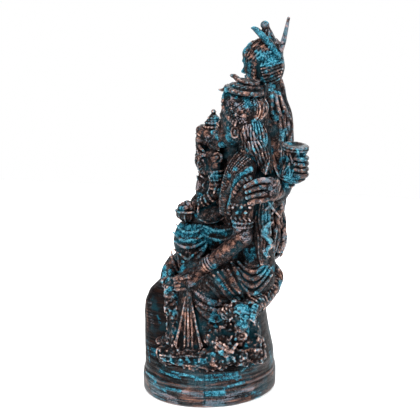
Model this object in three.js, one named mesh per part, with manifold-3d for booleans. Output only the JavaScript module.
// A painted resin altar statue, about 29 cm tall: a seated god with his wife beside him and
// their elephant-headed child on the lap, on a rock seat over a smooth oval stump and plinth.
// It is cast in one piece. Millimetres, +Z up, front towards -Y, origin under the plinth's middle.
// The god sits on the -X side and the wife on the +X side.

import * as THREE from 'three';
import { SimplifyModifier } from 'three/addons/modifiers/SimplifyModifier.js';
import { mergeVertices } from 'three/addons/utils/BufferGeometryUtils.js';
import Module from 'manifold-3d';

const wasm = await Module();
wasm.setup();

// Driving dimensions
const PLINTH_HALF_WIDTH = 60.6;
const PLINTH_HALF_DEPTH = 51.2;
const PLINTH_HEIGHT = 16.5;
const STUMP_SHARE = 0.975;
const STUMP_TOP = 88;
const LEDGE_TOP = 40;
const SEAT_TOP = 86;
const WIFE_X = 24;
const GOD_X = -22;
const CHILD_X = 2;
const WIFE_HEAD = [WIFE_X, 32, 215];
const GOD_HEAD = [GOD_X, 37, 252];
const CHILD_HEAD = [CHILD_X, 1, 197];
const MOON_TIP = [-15, 57.6, 287];
const FACES = 9700;
const PARTING = 0.02;

const v = ([x, y, z]) => new THREE.Vector3(x, y, z);
const mix = (a, b, t) => a + (b - a) * t;
const shift = (p, dx, dy, dz) => [p[0] + dx, p[1] + dy, p[2] + dz];

// A list of values read at t from 0 to 1, straight between them.
function along(values, t) {
  const place = Math.min(t, 0.99999) * (values.length - 1);
  const i = Math.floor(place);
  return mix(values[i], values[i + 1], place - i);
}

// A closed three.js geometry becomes a solid once its seams are merged.
function solid(geometry) {
  geometry.deleteAttribute('normal');
  geometry.deleteAttribute('uv');
  const merged = mergeVertices(geometry, 1e-4);
  const index = merged.index.array;
  const kept = [];
  for (let i = 0; i < index.length; i += 3) {
    const [a, b, c] = index.slice(i, i + 3);
    if (a !== b && b !== c && c !== a) kept.push(a, b, c);
  }
  return new wasm.Manifold(new wasm.Mesh({
    numProp: 3,
    vertProperties: new Float32Array(merged.attributes.position.array),
    triVerts: new Uint32Array(kept),
  }));
}

const fuse = (solids) => solids.reduce((whole, next) => whole.add(next));

// An egg shape: a ball stretched to three radii, then leaned about X, Y and Z in degrees.
function blob(centre, radii, lean = [0, 0, 0], sides = 11) {
  const ball = new THREE.SphereGeometry(1, sides, Math.round(sides * 0.6));
  ball.rotateX(Math.PI / 2);
  ball.scale(...radii);
  const [x, y, z] = lean.map(THREE.MathUtils.degToRad);
  ball.applyMatrix4(new THREE.Matrix4().makeRotationFromEuler(new THREE.Euler(x, y, z, 'ZYX')));
  ball.translate(...centre);
  return solid(ball);
}

// Rings of points, each with the same count, closed by a point at each end.
function skin(rings, first, last) {
  const count = rings[0].length;
  const points = [first, ...rings.flat(), last];
  const faces = [];
  for (let k = 0; k < count; k += 1) {
    const next = (k + 1) % count;
    faces.push(0, 1 + next, 1 + k);
    for (let r = 0; r < rings.length - 1; r += 1) {
      const a = 1 + r * count;
      const b = a + count;
      faces.push(a + k, a + next, b + k, b + k, a + next, b + next);
    }
    const top = 1 + (rings.length - 1) * count;
    faces.push(top + k, top + next, points.length - 1);
  }
  const geometry = new THREE.BufferGeometry();
  geometry.setAttribute('position', new THREE.Float32BufferAttribute(points.flatMap((p) => [...p]), 3));
  geometry.setIndex(faces);
  return solid(geometry);
}

// A rounded rod along a smooth path. Its half-thicknesses are read along the path, and flat
// makes it wider across than it is thick along the direction called up. The sideways
// direction is carried along the path, so that the rod never twists.
function rod(path, girths, { sides = 8, steps = 2 * path.length, flat = 1, up = [0, 0, 1] } = {}) {
  const curve = new THREE.CatmullRomCurve3(path.map(v), false, 'centripetal');
  const across = curve.getTangent(0).cross(v(up));
  if (across.length() < 0.3) across.crossVectors(curve.getTangent(0), v([0, 1, 0]));
  const ringAt = (t, ahead, share, past) => {
    const middle = curve.getPoint(t).addScaledVector(ahead, past);
    const over = ahead.clone().cross(across);
    const girth = along(girths, t) * share;
    return Array.from({ length: sides }, (_, k) => {
      const turn = (2 * Math.PI * k) / sides;
      return middle.clone()
        .addScaledVector(across, girth * flat * Math.cos(turn))
        .addScaledVector(over, girth * Math.sin(turn));
    });
  };
  const rings = [];
  for (let i = 0; i <= steps; i += 1) {
    const ahead = curve.getTangent(i / steps);
    across.addScaledVector(ahead, -across.dot(ahead)).normalize();
    if (i === 0) rings.push(ringAt(0, ahead, 0.72, -0.66 * girths[0]));
    rings.push(ringAt(i / steps, ahead, 1, 0));
    if (i === steps) rings.push(ringAt(1, ahead, 0.72, 0.66 * girths.at(-1)));
  }
  const start = curve.getPoint(0).addScaledVector(curve.getTangent(0), -0.96 * girths[0]);
  const end = curve.getPoint(1).addScaledVector(curve.getTangent(1), 0.96 * girths.at(-1));
  return skin(rings, start, end);
}

// A turned shape: half-widths and heights from the axis below to the axis above.
function turned(profile, centre, { sides = 16, lean = [0, 0, 0], stretch = 1 } = {}) {
  const lathe = new THREE.LatheGeometry(profile.map(([r, z]) => new THREE.Vector2(r, z)), sides);
  lathe.rotateX(Math.PI / 2);
  lathe.scale(1, stretch, 1);
  const [x, y, z] = lean.map(THREE.MathUtils.degToRad);
  lathe.applyMatrix4(new THREE.Matrix4().makeRotationFromEuler(new THREE.Euler(x, y, z, 'ZYX')));
  lathe.translate(...centre);
  return solid(lathe);
}

// A ring of rope, beads or brim: a closed loop in a leaning plane.
function hoop(centre, half, thick, { lean = [0, 0, 0], sides = 14, around = 6 } = {}) {
  const ring = new THREE.TorusGeometry(1, thick / half[0], around, sides);
  ring.scale(half[0], half[1], half[0]);
  const [x, y, z] = lean.map(THREE.MathUtils.degToRad);
  ring.applyMatrix4(new THREE.Matrix4().makeRotationFromEuler(new THREE.Euler(x, y, z, 'ZYX')));
  ring.translate(...centre);
  return solid(ring);
}

// The oval plinth, with a small step below its upper edge.
function plinth() {
  const profile = [[0, 0], [0.985, 0], [1, 1.2], [1, 13.4], [0.982, 14.4], [0.992, 15.4],
    [0.986, PLINTH_HEIGHT], [0, PLINTH_HEIGHT]];
  return turned(
    profile.map(([share, z]) => [share * PLINTH_HALF_WIDTH, z]),
    [0, 0, 0],
    { sides: 36, stretch: PLINTH_HALF_DEPTH / PLINTH_HALF_WIDTH },
  );
}

// The smooth stump. Its front stands upright and rounds over at the top, its back leans in,
// and its wife's side falls away from a flared foot, where the legs and rocks are.
function stump() {
  const levels = [15, 29, 44, 60, 69, 76, 81.5, 85.5, STUMP_TOP];
  const front = [1, 1, 1, 1, 0.985, 0.93, 0.82, 0.66, 0.4];
  const back = [1, 0.985, 0.925, 0.87, 0.86, 0.85, 0.8, 0.68, 0.4];
  const near = [1, 0.87, 0.77, 0.72, 0.7, 0.69, 0.66, 0.58, 0.36];
  const sides = 30;
  const rings = levels.map((z, i) => {
    const ring = [];
    for (let k = 0; k < sides; k += 1) {
      const turn = (2 * Math.PI * k) / sides;
      const behind = THREE.MathUtils.smoothstep(Math.sin(turn), -0.5, 0.6);
      const beside = THREE.MathUtils.smoothstep(Math.cos(turn + 0.12), 0.45, 0.9);
      const share = STUMP_SHARE * mix(mix(front[i], back[i], behind), near[i], beside);
      ring.push(new THREE.Vector3(
        share * PLINTH_HALF_WIDTH * Math.cos(turn),
        share * PLINTH_HALF_DEPTH * Math.sin(turn),
        z,
      ));
    }
    return ring;
  });
  return skin(rings, v([0, 0, levels[0]]), v([0, 0, STUMP_TOP]));
}

// Broken rock below the seat and the ledge that the wife's feet stand on.
function rocks() {
  const ledge = rod(
    [[38, -24, 33], [43, -10, 33], [45, 4, 33], [45, 16, 34]],
    [8.5, 9.5, 9.5, 9],
    { sides: 10, steps: 4, flat: 1.05 },
  );
  const lumps = [];
  for (let i = 0; i < 4; i += 1) {
    const y = 16 + 9.5 * i;
    const out = 47 - 0.011 * (y - 14) ** 2;
    lumps.push(blob([out, y, 36 + 3 * (i % 2)], [7, 7.5, 9 - (i % 3)], [10 * i, 14, 0], 7));
    lumps.push(blob([out - 3, y - 2, 50 + 4 * ((i + 1) % 2)], [7, 8, 8.5], [0, 9 * i, 20], 7));
  }
  for (let i = 0; i < 4; i += 1) {
    lumps.push(blob([31 - 4 * i, -31 - 3 * i, 45 + 12.5 * i], [8, 7.5, 9], [20 * i, 0, 0], 7));
  }
  return fuse([ledge, ...lumps]);
}

// The seat: a boulder with the skin of a tiger laid over it, its rolled edge round the back
// and near side, and its head hanging below the wife's thigh.
function seat() {
  const boulder = blob([2, 22, 80], [49, 37, 17], [4, 0, 0], 18);
  const step = blob([-8, 12, 92], [40, 34, 15], [0, 0, 0], 14);
  const edge = rod(
    [[46, 22, 72], [47, 36, 74], [43, 48, 80], [33, 55, 86], [18, 57, 92], [0, 58, 90],
      [-20, 56, 86], [-38, 47, 80], [-50, 30, 76], [-53, 10, 74], [-47, -12, 74]],
    [4.5, 5.5, 6.5, 7, 7, 6.5, 6, 6, 6, 6, 5],
    { sides: 7, steps: 20, flat: 1.15 },
  );
  const flap = rod([[12, 53, 104], [12, 57, 92], [14, 52, 76], [10, 46, 66]], [7, 7, 6, 4],
    { steps: 4, flat: 1.7, up: [0, 1, 0] });
  const skull = blob([49, 37, 73], [7, 8, 8]);
  const muzzle = rod([[51, 37.5, 70], [53, 37, 62]], [5.2, 3.8], { steps: 2 });
  const ears = [31, 43].map((y) => blob([49, y, 79.5], [3, 3, 3.4], [0, 0, 0], 7));
  return fuse([boulder, step, edge, flap, skull, muzzle, ears[0], ears[1]]);
}

// The wife's legs: both thighs lie forward over the seat and both shins hang down the side.
const wife = {
  hip: [34, 44, 96], knee: [37, -3, 91], ankle: [36, -15, 49], toe: [35, -32, 43],
  shoulder: [44, 36, 180], elbow: [50, 37, 131], wrist: [47, 7, 106], palm: [43, -4, 94],
};

function wifeLegs() {
  const thigh = rod([wife.hip, [37, 20, 96], wife.knee], [17, 14.5, 11], { sides: 10, steps: 3 });
  const shin = rod([wife.knee, [37, -8, 70], wife.ankle], [10.5, 8.5, 6], { sides: 10, steps: 3 });
  const foot = rod([[36, -13, 45], [35.5, -24, 44], wife.toe], [5.4, 4.6, 3.2], { steps: 3, flat: 1.1 });
  const farThigh = rod([[14, 40, 96], [16, 16, 97], [18, -8, 92]], [16, 14, 11], { sides: 10, steps: 3 });
  const farShin = rod([[18, -8, 92], [20, -12, 70], [22, -16, 48]], [11, 9.5, 7], { sides: 8, steps: 3 });
  const lap = blob([27, 22, 88], [15, 32, 9], [0, 0, 0], 14);
  const skirt = rod([[34, 6, 88], [36, 6, 70], [38, 8, 52]], [12, 11, 10], { sides: 10, steps: 3 });
  const hem = rod([[42, 8, 50], [48, 15, 49], [51, 27, 43], [50, 33, 49]], [1.6, 1.8, 1.8, 1.4]);
  const folds = [0, 1, 2].map((i) => rod(
    [[44, 6 + i, 66 - 7 * i], [47, 14, 62 - 7 * i], [46, 21 - i, 65 - 7 * i]],
    [1.6, 2.2, 1.6],
    { sides: 6, steps: 3 },
  ));
  return fuse([thigh, shin, foot, farThigh, farShin, lap, skirt, hem, ...folds]);
}

// Cloth hanging from her hand in three flutes that open like trumpets, and the swags that
// fall in rows from hip to knee.
function wifeCloth() {
  const flutes = [0, 1, 2].map((i) => rod(
    [[46, -5.5 + 1.6 * i, 90], [47, -7 + 4 * i, 72], [47, -10.5 + 6.6 * i, 45]],
    [2, 2.4, 4.4],
    { sides: 8, steps: 4, up: [0, 1, 0] },
  ));
  const swags = [0, 1, 2, 3].map((i) => rod(
    [[44, 30 - 2 * i, 108 - 6 * i], [51 - i, 37, 99 - 6.5 * i], [49 - i, 45, 97 - 5.5 * i],
      [41 - i, 54 - i, 106 - 4 * i]],
    [2, 2.6, 2.6, 2],
    { sides: 6, steps: 6 },
  ));
  const border = rod([[50, 14, 102], [51.5, 21, 94], [50.5, 28, 82]], [2.2, 2.2, 2], { flat: 1.8, sides: 6 });
  const kneeFold = rod([[45, -4, 84], [48.5, 6, 77], [50, 17, 80], [51, 24, 78]], [1.6, 2, 1.8, 1.2],
    { sides: 6, steps: 6 });
  const hems = blob([44, -3, 44], [6, 10, 6]);
  return fuse([...flutes, ...swags, border, kneeFold, hems]);
}

// A hand as a palm with a row of fingers and a thumb. Along and across are directions.
function hand(palm, along3, across3, size, curl = 0.25) {
  const forward = v(along3).normalize();
  const side = v(across3).normalize();
  const down = forward.clone().cross(side).normalize();
  const at = (f, s, d) => v(palm).addScaledVector(forward, f * size).addScaledVector(side, s * size)
    .addScaledVector(down, d * size).toArray();
  const middle = rod([at(-0.5, 0, 0), at(0.35, 0, 0)], [0.3 * size, 0.28 * size],
    { sides: 8, steps: 3, flat: 1.6, up: down.toArray() });
  const fingers = [-0.36, -0.12, 0.12, 0.36].map((s) => rod(
    [at(0.3, s, 0), at(0.85, s * 1.05, curl * 0.4), at(1.25, s, curl * 1.4)],
    [0.14 * size, 0.13 * size, 0.1 * size],
    { sides: 6, steps: 3 },
  ));
  const thumb = rod([at(-0.2, -0.4, 0), at(0.3, -0.66, 0.1), at(0.62, -0.6, 0.25)],
    [0.15 * size, 0.13 * size, 0.1 * size], { sides: 6, steps: 3 });
  return fuse([middle, ...fingers, thumb]);
}

function wifeBody() {
  const hips = blob([WIFE_X, 42, 100], [23, 17, 16], [0, 0, 0], 12);
  const waist = rod([[WIFE_X, 42, 104], [WIFE_X, 40, 135], [WIFE_X, 38, 158]], [14, 10.5, 12],
    { sides: 12, steps: 3, flat: 1.3, up: [0, 1, 0] });
  const chest = blob([WIFE_X, 36, 166], [19, 12.5, 17], [6, 0, 0], 12);
  const bosom = [-8, 9].map((dx) => blob([WIFE_X + dx, 26, 163], [7.5, 7, 7.5], [0, 0, 0], 8));
  const shoulders = rod([[6, 38, 181], [WIFE_X, 38, 185], wife.shoulder], [8.5, 8.5, 8],
    { sides: 8, steps: 3 });
  const neck = rod([[WIFE_X, 36, 184], [WIFE_X, 33, 200]], [7, 7], { sides: 8, steps: 2 });
  const upperArm = rod([wife.shoulder, [50, 37, 158], wife.elbow], [8.4, 8, 6.4], { sides: 8, steps: 3 });
  const foreArm = rod([wife.elbow, [50, 22, 117], wife.wrist], [6.6, 6.2, 4.4], { sides: 8, steps: 3 });
  const farArm = rod([[6, 38, 180], [2, 34, 158], [4, 18, 142], [4, 8, 140]], [7.5, 7, 5.5, 4.6],
    { sides: 8, steps: 6 });
  const armlets = [143, 157].map((z) => hoop([50, 37, z], [7, 7], 1.8));
  const bangles = [0, 1].map((i) => hoop(
    [47.6 + 0.6 * i, 9.5 + 5 * i, 107.8 + 4.2 * i], [4.8, 4.8], 1.7, { lean: [50, 0, 0], sides: 8 },
  ));
  const necklace = rod([[44, 38, 187], [37, 27, 178], [33, 17, 162], [34, 19, 148]], [2, 2.4, 2.4, 2],
    { sides: 6, steps: 9 });
  const sash = rod([[47, 30, 172], [42, 21, 158], [38, 18, 142], [38, 20, 128]], [3, 3.4, 3.2, 2.6],
    { sides: 6, steps: 6 });
  return fuse([hips, waist, chest, ...bosom, shoulders, neck, upperArm, foreArm, farArm,
    ...armlets, ...bangles, necklace, sash, hand(wife.palm, [-0.12, -1, -0.22], [0.35, 0, -1], 11)]);
}

// Her head, with a ball of flower-dressed hair, a rope-edged cap crown and locks behind the ear.
function wifeHead() {
  const hair = blob(WIFE_HEAD, [18.5, 17.5, 20], [0, 0, 0], 14);
  const face = blob(shift(WIFE_HEAD, 0, -8.5, -9), [11.5, 10, 13.5], [-8, 0, 0], 12);
  const nose = blob(shift(WIFE_HEAD, 0, -18.3, -9), [1.8, 2, 3.4], [-18, 0, 0], 6);
  const rim = hoop(shift(WIFE_HEAD, 0, -0.5, 20.5), [15, 14.5], 2.1, { lean: [-10, 0, 0], sides: 18 });
  const cap = blob(shift(WIFE_HEAD, 0, 0, 19.5), [14, 13.5, 10], [-10, 0, 0], 12);
  const tip = rod([shift(WIFE_HEAD, 0, -14, 21), shift(WIFE_HEAD, 0, -20, 19)], [2.2, 0.9], { steps: 2, sides: 6 });
  const earring = hoop(shift(WIFE_HEAD, 12.5, -3, -10.5), [3.6, 3.6], 1.3, { lean: [0, 90, 0], sides: 10 });
  const locks = [];
  for (let i = 0; i < 6; i += 1) {
    const y = 30 + 4.2 * i;
    const x = 39 - 0.06 * (y - 30) ** 2;
    locks.push(rod(
      [[x - 4, y - 3, 208], [x + 1, y, 197], [x + 2.5, y + 2.5, 186 - 3 * (i % 3)], [x, y - 1, 176 - 4 * (i % 2)]],
      [3, 3.2, 2.8, 1.4],
      { sides: 6, steps: 6 },
    ));
  }
  const nape = blob([WIFE_X, 44, 194], [15, 8, 16], [0, 0, 0], 10);
  return fuse([hair, face, nose, rim, cap, tip, earring, nape, ...locks]);
}

// The god's legs: the near one folded on the seat below the child, with cloth hanging under
// the knee, and the far one folded outwards.
const god = {
  hip: [-12, 38, 114], knee: [2, -15, 121], farHip: [-34, 36, 110], farKnee: [-48, -8, 108],
  shoulder: [2, 46, 200], farShoulder: [-46, 44, 200],
};

function godLegs() {
  const thigh = rod([god.hip, [-3, 12, 122], god.knee], [16, 15, 13], { sides: 12, steps: 4 });
  const knee = blob([2, -16, 119.5], [13, 13, 12.5], [0, 0, 0], 12);
  const shin = rod([[2, -14, 116], [-10, -14, 104], [-28, -10, 98]], [11, 10, 8], { sides: 10, steps: 3 });
  const drape = rod([[4, -13, 113], [5, -12, 102], [6, -9, 91]], [15, 14, 7], { sides: 10, steps: 3, flat: 1.05 });
  const farThigh = rod([god.farHip, [-42, 14, 112], god.farKnee], [16, 14, 11.5], { sides: 10, steps: 3 });
  const farShin = rod([god.farKnee, [-34, -22, 100], [-14, -27, 94]], [11, 9, 6.5], { sides: 10, steps: 3 });
  const farFoot = rod([[-14, -27, 94], [-4, -29, 90], [4, -30, 86]], [6, 5, 3.6], { steps: 3, flat: 1.2 });
  const folds = [0, 1, 2, 3].map((i) => rod(
    [[12, -24 + i, 108 - 5 * i], [17, -16, 101 - 5 * i], [17.5, -8, 105 - 4 * i], [14, 1 - i, 100 - 4 * i]],
    [1.3, 1.7, 1.7, 1.2],
    { sides: 6, steps: 6 },
  ));
  const paw = rod([[2, -26, 98], [4, -33, 90], [3, -34.5, 78]], [5, 4.6, 3.4], { sides: 8, steps: 3, flat: 1.3 });
  return fuse([thigh, knee, shin, drape, farThigh, farShin, farFoot, paw, ...folds]);
}

function godBody() {
  const hips = blob([GOD_X, 36, 112], [26, 20, 18], [0, 0, 0], 12);
  const belly = rod([[GOD_X, 38, 118], [GOD_X, 37, 145], [GOD_X, 38, 166], [GOD_X, 39, 186]], [15, 13, 14.5, 15],
    { sides: 12, steps: 3, flat: 1.35, up: [0, 1, 0] });
  const chest = blob([GOD_X, 38, 188], [26, 15, 19], [6, 0, 0], 12);
  const yoke = rod([god.farShoulder, [GOD_X, 42, 207], god.shoulder], [11, 11, 11], { sides: 10, steps: 4 });
  const neck = rod([[GOD_X, 40, 205], [GOD_X, 36, 236]], [10, 8.5], { sides: 10, steps: 2 });
  const snake = rod(
    [[-18, 15.5, 240.5], [-14, 20, 238], [-11, 28, 234], [-11, 37, 232], [-18, 46, 232], [-30, 42, 233],
      [-33, 30, 232], [-26, 20, 226], [-18, 19, 220]],
    [1.7, 2.4, 2.6, 2.6, 2.6, 2.6, 2.6, 2.2, 1.2],
    { sides: 7, steps: 12 },
  );
  const rearArm = rod([god.shoulder, [8, 50, 178], [12, 52, 154]], [11, 9.5, 7.5], { sides: 10, steps: 3 });
  const rearFore = rod([[12, 52, 153], [18, 60, 161], [24, 66.5, 173]], [7.2, 6, 5], { sides: 8, steps: 3 });
  const hugArm = rod([[0, 46, 190], [12, 55, 168], [30, 57, 162], [45, 53, 166]], [9, 8, 6.5, 5],
    { sides: 8, steps: 6 });
  const farArm = rod([god.farShoulder, [-52, 42, 176], [-52, 36, 156], [-50, 20, 156], [-47, 8, 166]],
    [11, 9, 7.5, 6, 4.6], { sides: 8, steps: 7 });
  const restArm = rod([[-46, 47, 192], [-56, 46, 165], [-57, 36, 138], [-53, 14, 124], [-50, 4, 120]],
    [9, 8, 7, 6, 5], { sides: 8, steps: 7 });
  return fuse([hips, belly, chest, yoke, neck, snake, rearArm, rearFore, hugArm, farArm, restArm,
    hand([49, 49, 168], [0.05, -1, -0.22], [0.1, 0.2, -1], 13, -0.1),
    hand([-46, 5, 172], [0, -0.15, 1], [1, 0, 0], 11, 0),
    hand([-49, -1, 119], [0.1, -1, -0.25], [-1, 0, -0.1], 11)]);
}

// The small laced drum, and the fist that holds it round its waist.
function drum() {
  const top = [27.5, 71.5, 197.5];
  const profile = [[0, -26], [8, -26], [9, -24.6], [9, -22.6], [5.6, -14], [5.2, -12.5], [5.6, -11],
    [9.2, -3.2], [9.2, -0.8], [8.4, 0], [0, 0]];
  const body = turned(profile, top, { sides: 12, lean: [-6, 4, 0] });
  const fist = blob([26.5, 68.5, 180], [7, 7.5, 8], [0, 0, 0], 10);
  const fingers = [0, 1, 2, 3].map((i) => rod(
    [[32, 66, 187 - 4.2 * i], [33.5, 72.5, 186.5 - 4.2 * i], [29, 77, 186.5 - 4.2 * i]],
    [2, 2.2, 1.9],
    { sides: 6, steps: 3 },
  ));
  return fuse([body, fist, ...fingers]);
}

// His head: combed hair with a bun behind, a topknot leaning forward, the crescent moon
// beside it, and long locks down the back as far as the seat.
function godHead() {
  const hair = blob(GOD_HEAD, [15.5, 16.5, 18], [12, 0, 0], 12);
  const face = blob(shift(GOD_HEAD, 0, -7, -4.5), [11, 11, 13.5], [-4, 0, 0], 12);
  const nose = blob(shift(GOD_HEAD, 0, -18.2, -5), [1.9, 2, 3.6], [-18, 0, 0], 6);
  const bun = blob([GOD_X, 44, 247.5], [13, 10, 9.5], [-18, 0, 0], 12);
  const knotBase = blob([GOD_X, 43, 263], [9, 8.5, 9], [0, 0, 0], 10);
  const knot = rod([[GOD_X, 44, 262], [-21, 41.5, 272], [-20, 37.5, 280.5]], [8, 5.5, 3.6], { sides: 8, steps: 4 });
  const brow = blob(shift(GOD_HEAD, 2, -14, 11), [9, 5, 5.5], [0, 0, 0], 8);
  const frontHorn = rod([[-12, 30, 277.5], [-12, 33.5, 277], [-11.5, 42.5, 268.5], [-12, 50, 258.5]],
    [0.9, 2.1, 2.7, 2.8], { sides: 8, steps: 6, flat: 0.9 });
  const rearHorn = rod([[-12, 49.5, 258], [-13.5, 53.2, 268], MOON_TIP], [2.8, 2.2, 1.1], { sides: 8, steps: 4 });
  return fuse([hair, face, nose, bun, knotBase, knot, brow, frontHorn, rearHorn]);
}

function godLocks() {
  const spine = [[GOD_X, 45, 252], [-20, 48.5, 230], [-17, 51.5, 208], [-13, 52, 188], [-8, 50, 168],
    [-4, 50, 146], [0, 52, 124], [4, 54, 108]];
  const mass = rod(spine, [8, 8.2, 9, 9.4, 8.6, 8.2, 7.6, 5], { sides: 12, steps: 9, flat: 2.3, up: [0, 1, 0] });
  const locks = [];
  for (let i = 0; i < 7; i += 1) {
    const share = (i - 3) / 3;
    const path = spine.slice(1).map(([x, y, z], k) => {
      const wave = 1.6 * Math.sin(1.7 * k + i);
      const width = 9 + 2.2 * Math.min(k, 4);
      return [x + share * width + wave, y + 8.2 * Math.sqrt(1.05 - share * share), z + 3];
    });
    locks.push(rod(path.slice(0, 7 - (i % 3 === 1 ? 1 : 0)), [2, 2.6, 2.8, 2.8, 2.6, 2.4, 1.4],
      { sides: 5, steps: 7, up: [0, 1, 0] }));
  }
  const curl = rod([[16, 50, 150], [22, 53, 138], [18, 56, 128], [23, 54, 118], [26, 50, 114]],
    [3, 3, 2.6, 2.4, 1.6], { sides: 6, steps: 7 });
  return fuse([mass, ...locks, curl]);
}

// The child on the near knee, with an elephant's head, a tiered crown and a bowl of sweets.
function child() {
  const body = blob([CHILD_X, -1, 156], [14, 12.5, 20], [-4, 0, 0], 12);
  const chest = blob([CHILD_X, 1, 176], [12.5, 10, 12], [0, 0, 0], 12);
  const head = blob(CHILD_HEAD, [10.5, 10.5, 9.5], [0, 0, 0], 12);
  const forehead = blob(shift(CHILD_HEAD, 0, -5.5, 1.5), [7.5, 5.2, 6], [0, 0, 0], 10);
  const trunk = rod([shift(CHILD_HEAD, 0, -8, -3), [3, -8.5, 186], [5, -10, 176], [7.5, -12, 167], [10, -13, 161]],
    [5, 4, 3.4, 2.9, 2.2], { sides: 8, steps: 7 });
  const ears = [-1, 1].map((side) => blob(
    shift(CHILD_HEAD, side * 12.5, 4, -2), [2.6, 7.5, 9.5], [0, 0, side * -24], 10,
  ));
  const tusks = [-1, 1].map((side) => rod(
    [shift(CHILD_HEAD, side * 4, -8, -6), shift(CHILD_HEAD, side * 5, -13, -9)], [1.6, 0.8], { sides: 6, steps: 2 },
  ));
  const crown = turned([[0, -4], [7.6, -3], [8, -1], [5.2, 0.6], [5.2, 3], [3.2, 4.2], [3.2, 6.6],
    [1.8, 7.6], [0, 11.6]], [CHILD_X, 3.5, 206.5], { sides: 10 });
  const arm = rod([[12, 3, 181], [17, 7, 168], [18, 8, 155], [15, -3, 147], [10, -11, 144]],
    [6.4, 5.8, 5.2, 4.6, 3.8], { sides: 8, steps: 7 });
  const farArm = rod([[-8, 3, 181], [-13, 6, 168], [-14, 4, 156], [-6, -8, 150], [2, -13, 146]],
    [6.4, 5.8, 5.2, 4.4, 3.8], { sides: 8, steps: 7 });
  const rings = [0, 1].map((i) => hoop([17.5, 7.8, 158 + 5 * i], [5.4, 5.4], 1.6, { sides: 8 }));
  const legs = rod([[15, 6, 139], [17, -4, 137], [6, -12, 136], [-10, -10, 136], [-14, 4, 138]],
    [7, 7, 6, 6.5, 7], { sides: 8, steps: 7 });
  const bowl = turned([[0, -8], [4.2, -8], [7.4, -4.4], [8.8, -0.6], [9, 0.6], [8.4, 1.2], [0, 1.2]],
    [9, -15.5, 139.5], { sides: 12 });
  const sweets = [blob([9, -15.5, 143.5], [4.6, 4.6, 5], [0, 0, 0], 7)];
  for (let i = 0; i < 5; i += 1) {
    const turn = (2 * Math.PI * i) / 5;
    sweets.push(blob([9 + 5.4 * Math.cos(turn), -15.5 + 5.4 * Math.sin(turn), 142], [3.8, 3.8, 3.8], [0, 0, 0], 6));
  }
  return fuse([body, chest, head, forehead, trunk, ...ears, ...tusks, crown, arm, farArm, ...rings, legs,
    bowl, ...sweets]);
}

function geometryOf(body) {
  const { vertProperties, triVerts } = body.getMesh();
  const geometry = new THREE.BufferGeometry();
  geometry.setAttribute('position', new THREE.Float32BufferAttribute(vertProperties, 3));
  geometry.setIndex([...triVerts]);
  return geometry;
}

// Where two folds only touch, their corners lie on the same point. Each such corner is drawn
// back a little towards its own neighbours, so that the folds part cleanly.
function parted(geometry) {
  const place = geometry.attributes.position;
  const index = geometry.index.array;
  const point = (n) => new THREE.Vector3().fromBufferAttribute(place, n);
  const shared = new Map();
  for (let n = 0; n < place.count; n += 1) {
    const key = point(n).toArray().map((x) => Math.round(x / PARTING)).join();
    shared.set(key, [...(shared.get(key) ?? []), n]);
  }
  const touching = new Map([...shared.values()].filter((group) => group.length > 1).flat()
    .map((n) => [n, new THREE.Vector3()]));
  for (let i = 0; i < index.length; i += 3) {
    const face = [...index.slice(i, i + 3)];
    for (const n of face) {
      if (touching.has(n)) face.forEach((m) => touching.get(n).add(point(m)).sub(point(n)));
    }
  }
  for (const [n, pull] of touching) {
    place.setXYZ(n, ...point(n).addScaledVector(pull.normalize(), 2 * PARTING));
  }
  return geometry;
}

// The fused casting thinned to about the wanted count of triangles.
async function thinned(body, faces) {
  const spare = Math.round((body.numTri() - faces) / 2);
  const thin = await new SimplifyModifier().modify(
    mergeVertices(geometryOf(body), 1e-3),
    Math.max(0, spare),
  );
  return parted(geometryOf(solid(thin)));
}

const casting = fuse([plinth(), stump(), rocks(), seat(), wifeLegs(), wifeCloth(), wifeBody(), wifeHead(),
  godLegs(), godBody(), drum(), godHead(), godLocks(), child()]);

const patina = new THREE.MeshStandardMaterial({ color: 0x3a2b2a, roughness: 0.5, metalness: 0.35 });
const figure = new THREE.Mesh(await thinned(casting, FACES), patina);
figure.geometry.computeVertexNormals();
figure.name = 'shiva_family_casting';
const statue = new THREE.Group();
statue.add(figure);

export default statue;
